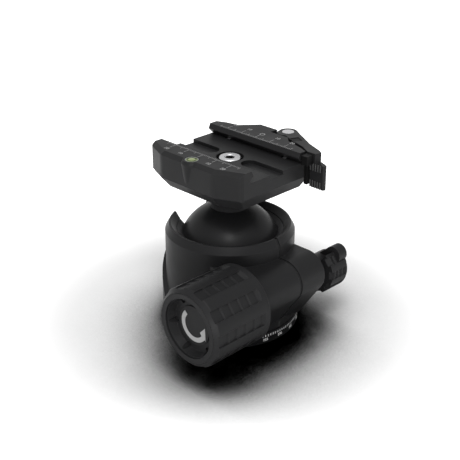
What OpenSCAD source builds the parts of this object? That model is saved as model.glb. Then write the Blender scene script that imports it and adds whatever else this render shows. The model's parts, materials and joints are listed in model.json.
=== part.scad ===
// Ball head with a split clamping collar, a side knob, a turning base and a lever clamp.
// Millimetres. +Z up, z = 0 is the underside of the base, the origin is on the turning axis.
// The main knob faces -X, the split in the collar is at -Y and the drop notch is at +Y.

/* [Ball] */
// Diameter of the ball
ball_d = 55.3; // [46:0.1:66]
// Diameter of the stem where it leaves the ball
stem_d = 20.6; // [16:0.1:24]
// Height from the top of the ball to the plate clamp
stem_rise = 10.8; // [9:0.1:14]

/* [Collar and base] */
// Thickness of the collar's wall round the ball
collar_wall = 6.4; // [5:0.1:8]
// How far the base stands out from the collar
base_lip = 2.8; // [2:0.1:5]
// Height of the turning base
base_h = 6.4; // [5.5:0.1:8]
// Height from the turning base to the ball
under_ball = 5.55; // [5:0.05:8]
// Height of the skirt round the foot of the housing
skirt_h = 4.5; // [3.5:0.1:6]
// Width of the split in the collar
slit_w = 1.8; // [1:0.1:2.5]

/* [Clamp screw] */
// Distance of the clamp screw outside the collar's wall
screw_out = 3.75; // [3:0.05:6]
// Distance of the clamp screw below the ball's centre
screw_drop = 5.1; // [4:0.1:7]
// Radius of the boss's rounded nose
nose_r = 11.3; // [10:0.1:13]
// Distance of the boss's far end from the split
boss_far = 19; // [17:0.1:24]
// Diameter of the clamp screw
screw_d = 8; // [6.5:0.1:8.6]

/* [Main knob] */
// Diameter of the main knob
knob_d = 40.2; // [34:0.1:46]
// Length of the main knob
knob_l = 35.8; // [30:0.1:44]
// Width of the knob's front shoulder
shoulder_w = 2.6; // [1.5:0.1:3.5]
// Width of the face ring
face_rim = 2.45; // [2:0.05:3.5]
// Depth of the recess
mouth_h = 5.3; // [4:0.1:7]
// Number of grip strips
strips = 10; // [6:1:12]
// Width of one grip strip
strip_w = 6.1; // [4:0.1:7]
// Number of steps in one grip strip
steps = 5; // [3:1:8]
// Depth of one step
step_h = 0.8; // [0.4:0.1:1.2]

/* [Pan lock] */
// Diameter of the pan lock knob
lock_d = 26.4; // [22:0.1:30]
// Length of the pan lock knob's grip
lock_l = 12; // [9:0.1:16]
// Reach of the wing from the pan lock's axis
wing_r = 16.4; // [14:0.1:20]

/* [Plate clamp] */
// Length of the plate clamp
clamp_l = 64.4; // [55:0.1:75]
// Opening between the jaws at the top
chan_w = 34.6; // [30:0.1:40]
// Width of one jaw across the middle of the clamp
jaw_w = 13.2; // [11:0.1:16]
// Height from the clamp's underside to its top
clamp_h = 19.7; // [17:0.1:23]
// Depth of the dovetail channel
chan_h = 5.8; // [5:0.1:7]

/* [Lever] */
// Distance of the lever's pin outside the clamp's side
pin_out = 6.3; // [5.5:0.1:8]
// Diameter of the pin's head
pin_head = 6.8; // [6:0.1:8]
// Travel of the moving jaw
jaw_travel = 1.8; // [1:0.1:1.9]

/* [Level] */
// Diameter of the bubble level's boss
level_d = 10.6; // [9:0.1:12]

/* [Hidden] */
$fn = 96;

// general sizes
collar_r = ball_d / 2 + collar_wall;
base_r = collar_r + base_lip;
gap = 0.3;
run = 0.05;
over = 1;
ball_r = ball_d / 2;
ball_z = base_h + under_ball + ball_r;
seat_r = ball_r + 0.04;
far_w = 8 * base_r;

// base
ring_r = base_r - 2.4;
ring_low = 1.4;
post_r = 13;
post_z = ball_z - ball_r - 1.15;
bush_r = 7;
bush_bore = 3.97;
bush_h = post_z - 1.5;
bush_lip_r = 9;
bush_lip_h = 1.6;
pad_in = 18;
pad_out = base_r - 5.5;
pad_h = 1.4;
foot_cut = 1;
washer_h = 0.5;
glide_h = 0.4;
floor_z = base_h + washer_h;
floor_t = (post_z - floor_z) * 0.5;
glide_z = floor_z + floor_t;
glide_in = post_r + 0.5;
glide_out = glide_in + 4.5;
well_r = glide_out + 1;
washer_in = glide_in + 1.5;
washer_out = washer_in + 7;

// housing
collar_z = ball_z + ball_r * 0.6;
skirt_z = floor_z + skirt_h;
slit_z = skirt_z;
skirt_r = base_r - 0.65;
rim_h = 3.8;
rim_in = 2.1;
bevel_r = collar_r - 3.1;
liner_r = collar_r - 5.9;
liner_top = ball_z + ball_r * 0.48;
liner_land = 0.3;
lip_drop = 1.77;
lip_r = ball_r * 0.905;
bevel_low = liner_top + 0.4;
liner_low = ball_z + 1.6;
cup_r = ball_r * 0.94;
cup_top = ball_z - ball_r * 0.456;
cup_low = cup_top - ball_r * 0.434;
cup_in = ball_r * 0.705;
cave_low = cup_low - ball_r * 0.094;
cave_top = ball_z - ball_r * 0.347;
screw_y = collar_r + screw_out;
screw_z = ball_z - screw_drop;
boss_top = screw_z + nose_r;
nose_y = screw_y + 0.6;
arch_r = ball_r * 1.25;
arch_z = ball_z - ball_r * 1.266;
arch_top = ball_z + 2.4;
slit_x = 0.1;
stem_r = stem_d / 2;
flare_r = stem_r + 1.45;
notch_r = flare_r + 0.55;
notch_in = ball_r * 0.55;
spring_out = cup_r - 0.8;
spring_in = cup_in + 1;
spring_t = 0.6;
spring_lean = 1;
skin = 0.001;

// clamp screw, nut and washer
screw_r = screw_d / 2;
hole_r = screw_r + gap;
near_gap = 0.8;
thrust_r = 9;
thrust_h = 1.45;
nut_a = screw_d * 1.6;
nut_l = 6;
nut_x = slit_x + slit_w + 1.7;
nut_back = 1.3;
screw_end = nut_x + nut_l + 0.5;
tip_gap = 0.8;

// main knob, measured from its face towards +X
knob_r = knob_d / 2;
knob_in = screw_y - knob_r;
boss_near = sqrt((collar_r + near_gap) * (collar_r + near_gap) - knob_in * knob_in);
knob_back = 0.2;
knob_x = -boss_near - knob_back - knob_l;
face_r = knob_r - shoulder_w;
shoulder_h = 2.3;
ring_h = 1.2;
cup_wall = 1;
cup_t = 1.5;
mouth_r = face_r - face_rim;
floor_r = mouth_r - 1.65;
cup_out = mouth_r + cup_wall;
cup_back = mouth_h + cup_t;
holes = 6;
hole_turn = 21;
tool_r = 1.5;
tool_at = floor_r - 0.3;
disc_r = floor_r - 3.5;
disc_h = 0.8;
screw_head_r = 5;
screw_head_h = 4;
screw_well = cup_back + screw_head_h + 1;
screw_in = 6;
screw_room = screw_head_r + 1;
socket_r = 2.3;
socket_h = 2.2;
stub_r = screw_r * 0.55;
hub_r = 8.5;
hub_h = 0.15;
strip_turn = 17;
grip_in = 3.9;
grip_out = 3.2;
grip_face = 1.3;
grip_r = sqrt(knob_r * knob_r - strip_w * strip_w / 4);

// pan lock, measured from the boss's far face towards +X
lock_y = screw_y - 1.3;
lock_z = screw_z - 3;
lock_r = lock_d / 2;
lock_gap = 0.6;
lock_hub = 7.2;
drum_gap = 0.5;
lock_in = lock_y - lock_r;
drum_x = sqrt((collar_r + drum_gap) * (collar_r + drum_gap) - lock_in * lock_in);
lock_x = boss_far + lock_gap;
drum_in = drum_x - lock_x;
lock_end = drum_in + lock_l;
lock_strip_w = 4.4;
lock_steps = 3;
lock_step_h = 0.7;
lock_face = 1;
lock_grip_r = sqrt(lock_r * lock_r - lock_strip_w * lock_strip_w / 4);
lock_cut_turn = 126;
wing_h = lock_l / 2;
wing_tip = 4.6;
wing_root = 6;
wing_turn = 131;
lock_pin_r = 2.5;
lock_bush_r = 5.2;
lock_bush_l = 2.4;
lock_cap_r = 5;
lock_cap_h = 1.2;
brake_r = 1.9;
brake_x = screw_end + nut_back + brake_r + gap;
brake_lean = 17;
brake_tip = 1.2;
brake_up = lock_pin_r + gap;
brake_l = (lock_z - floor_z) / cos(brake_lean) - brake_up - 0.8;
lock_tip = 3.2;

// plate clamp, heights from its underside
clamp_z = ball_z + ball_r + stem_rise;
top_z = clamp_z + clamp_h;
chan_z = top_z - chan_h;
half_l = clamp_l / 2;
half_w = chan_w / 2 + jaw_w;
half_e = half_w * 0.807;
knee_y = half_l * 0.575;
top_run = 2.6;
top_drop = 1.6;
foot_run = 5;
foot_end = 2.8;
foot_rise = 6;
corner_share = 0.99;
ease = 1.8;
tip_in = 1.1;
tip_drop = chan_h * 0.45;
under = 3.1;
shift = 0.3;
left_x = -chan_w / 2 - shift;
right_x = chan_w / 2 - shift;
slot_w = chan_w * 0.266;
slot_h = 2;
slot_in = half_l * 0.435;
head_r = 5.7;
head_h = 4.4;
head_well = 7.1;
bolt_r = 3;
bolt_low = 12;
key_r = 2.6;
key_h = 2.6;
washer_r = 9.5;
washer_t = 0.4;
stem_top = clamp_z - washer_t;
stem_low = ball_z + sqrt(ball_r * ball_r - stem_r * stem_r) - 0.4;
flare_z = stem_low + 6;
spigot_r = 6.5;
spigot_z = stem_low - 7;

// moving jaw, lever and latch
pin_x = half_w + pin_out;
pin_y = half_l * 0.199;
jaw_z = chan_z + 0.05;
hub_turn_r = pin_head / 2 + 1.5;
cam_r = 4.2;
cam_off = 2.5;
cam_gap = 0.45;
cam_x = pin_x - cam_off - cam_r - cam_gap;
lever_z = chan_z + 0.2;
pin_r = 2.5;
pin_low = 8;
cap_h = 1.2;
lug_r = 6.2;
lug_low = clamp_z + foot_rise;
tab_low = clamp_z + 1.6;
tab_top = top_z - 5.2;
rib_n = 5;
rib_w = 0.8;
rib_h = 0.5;
rib_pitch = 1.6;
rib_band = 3.9;
guide_x = half_w * 0.767;
guide_y = half_l * 0.621;
guide_r = 1.6;
guide_head = 2.9;
guide_head_h = 2;
guide_well = 7.5;
guide_top = chan_z + chan_h * 0.62;
spring_r = 1.5;
spring_len = 4;
coil_n = 4;
// outlines as shares of half the clamp's width and half its length
jaw_shares = [[0, -1], [0.682, -1], [0.751, -0.839], [0.846, -0.509]];
jaw_far_shares = [[1.134, -0.02], [1.134, 0.351], [0.846, 0.59], [0.793, 0.839], [0.718, 1], [0, 1]];
arm_shares = [[1.252, -0.416], [1, -0.835], [0.866, -1.149], [0.807, -1.224], [0.698, -1.193],
  [0.698, -1.031], [0.807, -0.851], [0.938, -0.478]];
tab_shares = [[0.7, -1.09], [0.7, -1.352], [0.73, -1.376], [0.765, -1.37], [0.8, -1.3],
  [0.833, -1.221], [0.862, -1.15], [0.826, -1.09]];
neck_shares = [[0.71, -1.09], [0.71, -1.19], [0.8, -1.215], [0.822, -1.09]];
button_x = half_w * 0.997;
button_y = half_l * 0.547;
button_w = 4.8;
button_l = 5.6;
button_turn = -28;
button_in = 0.35;
catch_x = half_w * 0.544;
catch_y = half_l * 1.152;
catch_w = half_w * 0.154;
catch_l = half_l * 0.122;
catch_in = 0.8;
catch_leg = 2.2;
catch_leg_l = half_l * 0.062;
catch_foot = 1.5;

// level
level_x = half_w * 0.875;
level_y = 0.3;
level_r = level_d / 2;
level_low = clamp_z + 6;
level_edge = top_z - 1.55;
level_taper = 1.65;
level_bevel = 0.9;
vial_r = level_r - 1.9;
vial_h = 2.6;
level_wall = 0.7;

module ring(h, ro, ri) {
  difference() {
    cylinder(h = h, r = ro);
    translate([0, 0, -over]) cylinder(h = h + 2 * over, r = ri);
  }
}

module on_screw(x) {
  translate([x, -screw_y, screw_z]) rotate([0, 90, 0]) children();
}

module on_lock(x) {
  translate([x, -lock_y, lock_z]) rotate([0, 90, 0]) children();
}

module ball_room(r) {
  translate([0, 0, ball_z]) sphere(r = r, $fn = 128);
}

module chamfer_ring(r, cut, h) {
  // what a chamfer takes off the top edge of a disc
  difference() {
    cylinder(h = h, r = r + over);
    cylinder(h = h, r1 = r, r2 = r - cut);
  }
}

// base
module pan_base() color("#1c1c1e") difference() {
  union() {
    cylinder(h = foot_cut, r1 = ring_r - foot_cut, r2 = ring_r);
    translate([0, 0, foot_cut]) cylinder(h = base_h - foot_cut, r = ring_r);
    cylinder(h = post_z, r = post_r);
    translate([0, 0, foot_cut]) cylinder(h = ring_low - foot_cut, r = base_r);
  }
  translate([0, 0, -over]) ring(pad_h + over, pad_out, pad_in);
  translate([0, 0, -over]) cylinder(h = bush_h + over, r = bush_r);
  translate([0, 0, -over]) cylinder(h = bush_lip_h + over, r = bush_lip_r);
}

module base_bush() color("#b9bbbd") difference() {
  union() {
    cylinder(h = bush_h, r = bush_r);
    cylinder(h = bush_lip_h, r = bush_lip_r);
  }
  translate([0, 0, -over]) cylinder(h = bush_h + 2 * over, r = bush_bore);
}

module base_pad() color("#111112") ring(pad_h, pad_out, pad_in);

module scale_ring() color("#202022") translate([0, 0, ring_low]) difference() {
  ring(base_h - ring_low, base_r, ring_r);
  translate([0, 0, base_h - ring_low - foot_cut / 2]) chamfer_ring(base_r, foot_cut / 2, foot_cut);
}

module pan_washer() color("#8d7a4a") translate([0, 0, base_h]) ring(washer_h, washer_out, washer_in);

module pan_glide() color("#8d7a4a") translate([0, 0, glide_z]) ring(glide_h, glide_out, glide_in);

module pan_retainer() color("#6c6d70") translate([0, 0, glide_z + glide_h]) difference() {
  ring(post_z - glide_z - glide_h, glide_out, post_r);
  for (a = [45 : 90 : 315]) rotate([0, 0, a]) translate([glide_out, 0, 0])
    cylinder(h = far_w, r = tool_r, center = true);
}

// housing
function toe() =
  // point of the boss's section where its straight side meets the floor plane
  let (t = tangent_low(), f = (t[1] - floor_z) / (t[1] - skirt_z))
  [t[0] + (-skirt_r - t[0]) * f, floor_z];

function tangent_low() =
  // where the straight side leaves the nose
  let (d = sqrt((nose_y - skirt_r) * (nose_y - skirt_r) + (screw_z - skirt_z) * (screw_z - skirt_z)),
    base = atan2(skirt_z - screw_z, nose_y - skirt_r), half = acos(nose_r / d))
  [-nose_y + nose_r * cos(base - half), screw_z + nose_r * sin(base - half)];

module boss_shape() {
  // section of the boss, across the clamp screw
  translate([-nose_y, screw_z]) circle(r = nose_r);
  polygon([[0, boss_top], [-nose_y, boss_top], [-nose_y, screw_z], tangent_low(), toe(), [0, floor_z]]);
}

module housing_outer() {
  translate([0, 0, floor_z]) cylinder(h = collar_z - rim_h - floor_z, r = collar_r);
  translate([0, 0, collar_z - rim_h]) cylinder(h = rim_h, r1 = collar_r, r2 = collar_r - rim_in);
  translate([0, 0, floor_z]) cylinder(h = skirt_z - floor_z, r = skirt_r);
  intersection() {
    translate([0, 0, floor_z]) cylinder(h = arch_top - floor_z, r = skirt_r);
    translate([0, 0, arch_z]) rotate([-90, 0, 0]) cylinder(h = far_w, r = arch_r);
  }
  intersection() {
    translate([-boss_near, 0, 0]) rotate([90, 0, 90]) linear_extrude(boss_near + boss_far) boss_shape();
    translate([-far_w / 2, -far_w - notch_r, 0]) cube([far_w, far_w, far_w]);
  }
}

module notch_cut() {
  translate([0, notch_in, ball_z]) rotate([-90, 0, 0]) cylinder(h = far_w, r = notch_r);
  translate([-notch_r, notch_in, ball_z]) cube([2 * notch_r, far_w, far_w]);
}

module slit_cut() {
  translate([slit_x, -far_w - notch_in, slit_z]) cube([slit_w, far_w, far_w]);
}

module housing() color("#232325") difference() {
  housing_outer();
  // ball room, liner seat, rim bevel
  intersection() {
    ball_room(seat_r);
    translate([0, 0, cave_top]) cylinder(h = far_w, r = far_w);
  }
  translate([0, 0, liner_low]) cylinder(h = far_w, r = liner_r);
  translate([0, 0, bevel_low]) cylinder(h = collar_z - bevel_low + skin, r1 = liner_r, r2 = bevel_r);
  translate([0, 0, cave_low]) cylinder(h = cave_top - cave_low, r = cup_r + run);
  translate([0, 0, glide_z]) cylinder(h = cave_low, r = well_r);
  translate([0, 0, floor_z - over]) cylinder(h = glide_z, r = post_r + gap);
  notch_cut();
  slit_cut();
  // clamp screw, washer, nut
  on_screw(-boss_near - over) cylinder(h = boss_near + boss_far, r = hole_r);
  on_screw(-boss_near - over) cylinder(h = thrust_h + over, r = thrust_r + gap);
  translate([nut_x - gap / 2, -screw_y - nut_a / 2 - gap, screw_z - nut_a / 2 - gap])
    cube([nut_l + nut_back + gap, screw_y - notch_in + nut_a / 2, nut_a + 2 * gap]);
  on_screw(nut_x + nut_l) cylinder(h = nut_back + tip_gap, r = hole_r);
  // pan lock
  on_lock(brake_x - brake_r - gap) cylinder(h = far_w, r = lock_pin_r + gap);
  on_lock(boss_far - lock_bush_l) cylinder(h = far_w, r = lock_bush_r);
  on_brake() translate([0, 0, -far_w / 2]) cylinder(h = far_w / 2, r = brake_r + run);
}

module on_brake() {
  // the brake pin's axis, from the pan lock down to the base
  translate([brake_x, -lock_y, lock_z]) rotate([brake_lean, 0, 0]) children();
}

module liner(side) {
  intersection() {
    difference() {
      translate([0, 0, liner_low]) cylinder(h = liner_top - liner_low, r = liner_r);
      translate([0, 0, liner_top - lip_drop])
        cylinder(h = lip_drop + skin, r1 = lip_r, r2 = liner_r - liner_land);
      ball_room(seat_r);
      translate([0, 0, -gap]) notch_cut();
      translate([slit_x, -far_w, 0]) cube([slit_w, far_w, far_w]);
    }
    translate([side < 0 ? -far_w : 0, -far_w / 2, 0]) cube([far_w, far_w, far_w]);
  }
}

module liner_near() color("#5a5b5e") liner(-1);

module liner_far() color("#5a5b5e") liner(1);

module disc_spring() color("#a9abad") translate([0, 0, cave_low]) difference() {
  cylinder(h = cup_low - cave_low, r1 = spring_out, r2 = spring_out - spring_lean);
  translate([0, 0, -skin])
    cylinder(h = cup_low - cave_low + 2 * skin, r1 = spring_out - spring_t, r2 = spring_in);
}

module thrust_washer() color("#a88f4e") on_screw(-boss_near + run) ring(thrust_h - run, thrust_r, hole_r);

module brake_pin() color("#b9bbbd") on_brake() translate([0, 0, -brake_up - brake_l]) {
  cylinder(h = brake_l - brake_tip, r = brake_r);
  translate([0, 0, brake_l - brake_tip]) cylinder(h = brake_tip, r1 = brake_r, r2 = brake_r / 2);
}

module lock_bush() color("#a88f4e") on_lock(boss_far - lock_bush_l)
  ring(lock_bush_l, lock_bush_r, lock_pin_r + run);

// lower cup, ball and stem
module lower_cup() color("#4a4b4e") difference() {
  translate([0, 0, cup_low]) cylinder(h = cup_top - cup_low, r = cup_r);
  translate([0, 0, cup_low - over]) cylinder(h = far_w, r = cup_in);
  ball_room(seat_r);
}

module ball() color("#2b2b2d") difference() {
  ball_room(ball_r);
  translate([0, 0, stem_low]) cylinder(h = far_w, r = stem_r);
  translate([0, 0, spigot_z]) cylinder(h = far_w, r = spigot_r);
}

module stem() color("#242426") difference() {
  union() {
    translate([0, 0, stem_low]) cylinder(h = flare_z - stem_low, r1 = stem_r, r2 = flare_r);
    translate([0, 0, flare_z]) cylinder(h = stem_top - flare_z, r = flare_r);
    translate([0, 0, spigot_z]) cylinder(h = stem_low - spigot_z, r = spigot_r);
  }
  translate([0, 0, clamp_z - bolt_low - over]) cylinder(h = far_w, r = bolt_r + run);
}

module turn_washer() color("#a88f4e") translate([0, 0, stem_top]) ring(washer_t, washer_r, bolt_r + gap);

// main knob
module grip_cut(r, w, first, last, n, face, depth, out_r) {
  // saw-toothed strip taken off a knob, z along the knob
  pitch = (last - first) / n;
  pts = concat([[out_r, -over], [r - depth * 3, -over], [r - depth * 3, 0], [r, first]],
    [for (i = [1 : n]) each [[r - depth, first + i * pitch - face], [r, first + i * pitch]]],
    [[out_r, last + depth * 1.5]]);
  rotate([90, 0, 0]) linear_extrude(w, center = true) polygon(pts);
}

module main_knob() color("#29292b") on_screw(knob_x) difference() {
  union() {
    cylinder(h = shoulder_h, r1 = face_r + gap, r2 = knob_r);
    translate([0, 0, shoulder_h]) cylinder(h = knob_l - shoulder_h, r = knob_r);
    translate([0, 0, knob_l]) cylinder(h = hub_h, r = hub_r);
  }
  for (k = [0 : strips - 1]) rotate([0, 0, strip_turn + k * 360 / strips])
    grip_cut(grip_r, strip_w, grip_in, knob_l - grip_out, steps, grip_face, step_h, knob_r + over);
  translate([0, 0, -over]) cylinder(h = ring_h + over, r = face_r);
  translate([0, 0, -over]) cylinder(h = cup_back + over, r = cup_out);
  translate([0, 0, -over]) cylinder(h = screw_well + over, r = screw_room);
  translate([0, 0, -over]) cylinder(h = far_w, r = screw_r);
}

module knob_ring() color("#303032") on_screw(knob_x) ring(ring_h, face_r, mouth_r);

module knob_cup() color("#333335") on_screw(knob_x + ring_h) difference() {
  cylinder(h = cup_back - ring_h, r = cup_out);
  translate([0, 0, -ring_h]) cylinder(h = mouth_h, r1 = mouth_r, r2 = floor_r);
  for (k = [0 : holes - 1]) rotate([0, 0, hole_turn + k * 360 / holes]) translate([tool_at, 0, -over])
    cylinder(h = mouth_h + over, r = tool_r);
}

module arrow_disc() color("#39393b") on_screw(knob_x + mouth_h - disc_h) cylinder(h = disc_h, r = disc_r);

module knob_screw() color("#b9bbbd") on_screw(knob_x + cup_back + gap) {
  difference() {
    cylinder(h = screw_head_h + over - gap, r = screw_head_r);
    translate([0, 0, -over]) cylinder(h = socket_h + over, r = socket_r, $fn = 24);
  }
  cylinder(h = screw_head_h + over - gap + screw_in, r = stub_r);
}

module clamp_spindle() color("#b9bbbd") on_screw(knob_x + screw_well) difference() {
  cylinder(h = screw_end - knob_x - screw_well, r = screw_r);
  translate([0, 0, -over]) cylinder(h = screw_in + over + tip_gap, r = stub_r);
}

module draw_nut() color("#8f9194") on_screw(nut_x + nut_back + nut_l / 2) difference() {
  cube([nut_a, nut_a, nut_l], center = true);
  cylinder(h = far_w, r = screw_r + run, center = true);
}

// pan lock
module lock_knob() color("#29292b") on_lock(lock_x) difference() {
  union() {
    cylinder(h = lock_end, r = lock_hub);
    translate([0, 0, drum_in]) difference() {
      cylinder(h = lock_l, r = lock_r);
      for (k = [0 : strips - 1]) rotate([0, 0, strip_turn + k * 360 / strips])
        grip_cut(lock_grip_r, lock_strip_w, 2 * lock_face, lock_l - lock_face, lock_steps, lock_face,
          lock_step_h, lock_r + over);
      rotate([0, 0, lock_cut_turn + 90]) translate([-far_w / 2, -far_w, -over]) cube([far_w, far_w, far_w]);
    }
    translate([0, 0, lock_end - wing_h]) rotate([0, 0, wing_turn + 90]) linear_extrude(wing_h) union() {
      polygon([[0, -wing_root], [wing_r - wing_tip, -wing_tip], [wing_r - wing_tip, wing_tip],
        [0, wing_root]]);
      translate([wing_r - wing_tip, 0]) circle(r = wing_tip);
    }
  }
  translate([0, 0, -over]) cylinder(h = far_w, r = lock_pin_r);
  translate([0, 0, lock_end - lock_cap_h]) cylinder(h = far_w, r = lock_cap_r);
}

module lock_spindle() color("#b9bbbd") on_lock(brake_x - brake_r) {
  cylinder(h = lock_tip, r1 = lock_pin_r * 0.35, r2 = lock_pin_r);
  translate([0, 0, lock_tip])
    cylinder(h = lock_x + lock_end - lock_cap_h - brake_x + brake_r - lock_tip, r = lock_pin_r);
}

module lock_cap() color("#303032") on_lock(lock_x + lock_end - lock_cap_h)
  cylinder(h = lock_cap_h, r = lock_cap_r);

// plate clamp
function eased(p) = [for (i = [0 : 7]) let(c = p[i], a = p[(i + 7) % 8] - c, b = p[(i + 1) % 8] - c,
  u = a * ease / norm(a), v = b * ease / norm(b)) each [c + u, c + (4 * u + v) / 9, c + (u + 4 * v) / 9, c + v]];

module plan(wx, wy, wk, we) {
  polygon(eased([[-we, -wy], [-wx, -wk], [-wx, wk], [-we, wy], [we, wy], [wx, wk], [wx, -wk], [we, -wy]]));
}

module bevel(x1, y1, x2, y2, run_in, rise) {
  // prism that takes a bevel off the edge from point 1 to point 2, rise up from z = 0
  len = sqrt((x2 - x1) * (x2 - x1) + (y2 - y1) * (y2 - y1));
  ang = atan2(y2 - y1, x2 - x1);
  translate([x1, y1, 0]) rotate([0, 0, ang]) translate([-len, 0, 0]) rotate([90, 0, 90])
    linear_extrude(3 * len) polygon([[run_in, 0], [run_in, rise > 0 ? -over : over],
      [-4 * over, rise > 0 ? -over : over], [-4 * over, rise * (1 + 4 * over / run_in)]]);
}

module side_bevels(run_side, run_end, rise) {
  p = [[-half_e, half_l], [-half_w, knee_y], [-half_w, -knee_y], [-half_e, -half_l],
    [half_e, -half_l], [half_w, -knee_y], [half_w, knee_y], [half_e, half_l]];
  for (i = [0 : 7]) bevel(p[i][0], p[i][1], p[(i + 1) % 8][0], p[(i + 1) % 8][1],
    (i == 3 || i == 7) ? run_end : run_side, rise * (i % 2 == 0 ? corner_share : 1));
}

module foot_bevels() translate([0, 0, clamp_z]) side_bevels(foot_run, foot_end, foot_rise);

module channel(low, xl, xr) {
  // dovetail channel between the jaws, from the floor at low to the top
  translate([0, half_l + over, 0]) rotate([90, 0, 0]) linear_extrude(clamp_l + 2 * over)
    polygon([[xl - under + tip_in, low], [xl + tip_in, top_z - tip_drop], [xl, top_z],
      [xl, top_z + over], [xr, top_z + over], [xr, top_z], [xr - tip_in, top_z - tip_drop],
      [xr - tip_in + under, low]]);
}

module clamp_body() color("#2c2c2e") difference() {
  union() {
    difference() {
      translate([0, 0, clamp_z]) linear_extrude(clamp_h) plan(half_w, half_l, knee_y, half_e);
      foot_bevels();
      translate([0, 0, top_z]) {
        bevel(-half_e, half_l, -half_w, knee_y, top_run, -top_drop * corner_share);
        bevel(-half_w, knee_y, -half_w, -knee_y, top_run, -top_drop);
        bevel(-half_w, -knee_y, -half_e, -half_l, top_run, -top_drop * corner_share);
      }
    }
    translate([-level_x, -level_y, level_low])
      cylinder(h = level_edge - level_low, r1 = level_r - level_taper, r2 = level_r);
    translate([-level_x, -level_y, level_edge])
      cylinder(h = top_z - level_edge, r1 = level_r, r2 = level_r - level_bevel);
    translate([pin_x, -pin_y, lug_low]) cylinder(h = chan_z - lug_low, r = lug_r);
    translate([0, 0, lug_low]) linear_extrude(chan_z - lug_low)
      polygon([[half_w - lug_r, -pin_y - 2 * lug_r], [pin_x, -pin_y - lug_r],
        [pin_x, -pin_y + lug_r], [half_w - lug_r, -pin_y + 2 * lug_r]]);
  }
  channel(chan_z, left_x, right_x);
  translate([0, -half_l - over, chan_z]) cube([far_w, clamp_l + 2 * over, clamp_h]);
  // relief slots, screw well
  for (s = [-1, 1]) {
    translate([0, s * slot_in, chan_z - slot_h]) cylinder(h = far_w, r = slot_w / 2);
    translate([-slot_w / 2, s > 0 ? slot_in : -slot_in - half_l, chan_z - slot_h])
      cube([slot_w, half_l, far_w]);
  }
  translate([0, 0, chan_z - head_h]) cylinder(h = far_w, r = head_well);
  translate([0, 0, clamp_z - over]) cylinder(h = far_w, r = bolt_r);
  // level, pin
  translate([-level_x, -level_y, top_z - vial_h - level_wall]) cylinder(h = far_w, r = vial_r + level_wall);
  translate([pin_x, -pin_y, chan_z - pin_low]) cylinder(h = far_w, r = pin_r);
  // jaw screws and springs
  for (s = [-1, 1]) {
    guide_slot(s, guide_r + gap, clamp_z - over, far_w);
    guide_slot(s, guide_head + gap, clamp_z - over, guide_well + over);
    translate([guide_x - spring_len - guide_r - gap, s * guide_y, chan_z - spring_r - gap])
      rotate([0, 90, 0]) cylinder(h = spring_len + guide_r + gap, r = spring_r + gap);
    translate([guide_x - spring_len - guide_r - gap, s * guide_y - spring_r - gap, chan_z - spring_r - gap])
      cube([spring_len + guide_r + gap, 2 * spring_r + 2 * gap, far_w]);
  }
}

module guide_slot(s, r, low, h) {
  translate([guide_x, s * guide_y, low]) cylinder(h = h, r = r);
  translate([guide_x + jaw_travel, s * guide_y, low]) cylinder(h = h, r = r);
  translate([guide_x, s * guide_y - r, low]) cube([jaw_travel, 2 * r, h]);
}

module centre_screw() color("#c9cbcd") difference() {
  union() {
    translate([0, 0, chan_z - head_h]) cylinder(h = head_h, r = head_r);
    translate([0, 0, clamp_z - bolt_low]) cylinder(h = clamp_h + bolt_low - chan_h - head_h, r = bolt_r);
  }
  translate([0, 0, chan_z - key_h]) cylinder(h = far_w, r = key_r, $fn = 6);
}

module level_cup() color("#1a1a1b") translate([-level_x, -level_y, top_z - vial_h - level_wall])
  difference() {
  cylinder(h = vial_h + level_wall, r = vial_r + level_wall);
  translate([0, 0, level_wall]) cylinder(h = far_w, r = vial_r);
}

module level_vial() color("#d8dc8c") translate([-level_x, -level_y, top_z - vial_h])
  cylinder(h = vial_h, r = vial_r);

module lever_pin() color("#d0d2d4") translate([pin_x, -pin_y, 0]) {
  translate([0, 0, chan_z - pin_low]) cylinder(h = pin_low + chan_h, r = pin_r);
  translate([0, 0, top_z - cap_h]) cylinder(h = cap_h, r = pin_head / 2);
}

module jaw_spring(s) {
  x0 = guide_x - spring_len - guide_r;
  len = spring_len - gap;
  pitch = len / coil_n;
  translate([x0, s * guide_y, chan_z - spring_r]) rotate([0, 90, 0]) rotate_extrude($fn = 32)
    polygon(concat([[spring_r * 0.45, 0]],
      [for (i = [0 : coil_n - 1]) each [[spring_r * 0.8, i * pitch], [spring_r, (i + 0.5) * pitch]]],
      [[spring_r * 0.8, len], [spring_r * 0.45, len]]));
}

module jaw_spring_a() color("#b9bbbd") jaw_spring(-1);

module jaw_spring_b() color("#b9bbbd") jaw_spring(1);

function shares(list) = [for (p = list) [p[0] * half_w, p[1] * half_l]];

module jaw_plan() {
  polygon(concat(shares(jaw_shares), [[cam_x, -pin_y - lug_r], [cam_x, -pin_y + lug_r]],
    shares(jaw_far_shares)));
}

module moving_jaw() color("#2f2f31") difference() {
  translate([0, 0, jaw_z]) linear_extrude(top_z - jaw_z) jaw_plan();
  channel(chan_z - over, left_x, right_x);
  channel(chan_z, left_x, right_x);
  for (s = [-1, 1]) translate([guide_x, s * guide_y, 0]) cylinder(h = guide_top, r = guide_r);
}

module jaw_screw(s) {
  low = clamp_z + guide_well - guide_head_h - run;
  translate([guide_x, s * guide_y, 0]) difference() {
    union() {
      translate([0, 0, low]) cylinder(h = guide_head_h, r = guide_head);
      translate([0, 0, low]) cylinder(h = guide_top - low, r = guide_r);
    }
    translate([0, 0, clamp_z]) cylinder(h = low - clamp_z + guide_head_h / 2, r = guide_r * 0.7, $fn = 6);
  }
}

module jaw_screw_a() color("#8f9194") jaw_screw(-1);

module jaw_screw_b() color("#8f9194") jaw_screw(1);

module arm_plan() {
  polygon(concat([[pin_x + hub_turn_r * 0.76, -pin_y - hub_turn_r * 0.65]], shares(arm_shares),
    [[pin_x - cam_off - cam_r * 0.7, -pin_y - cam_r * 0.7], [pin_x, -pin_y]]));
}

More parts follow.
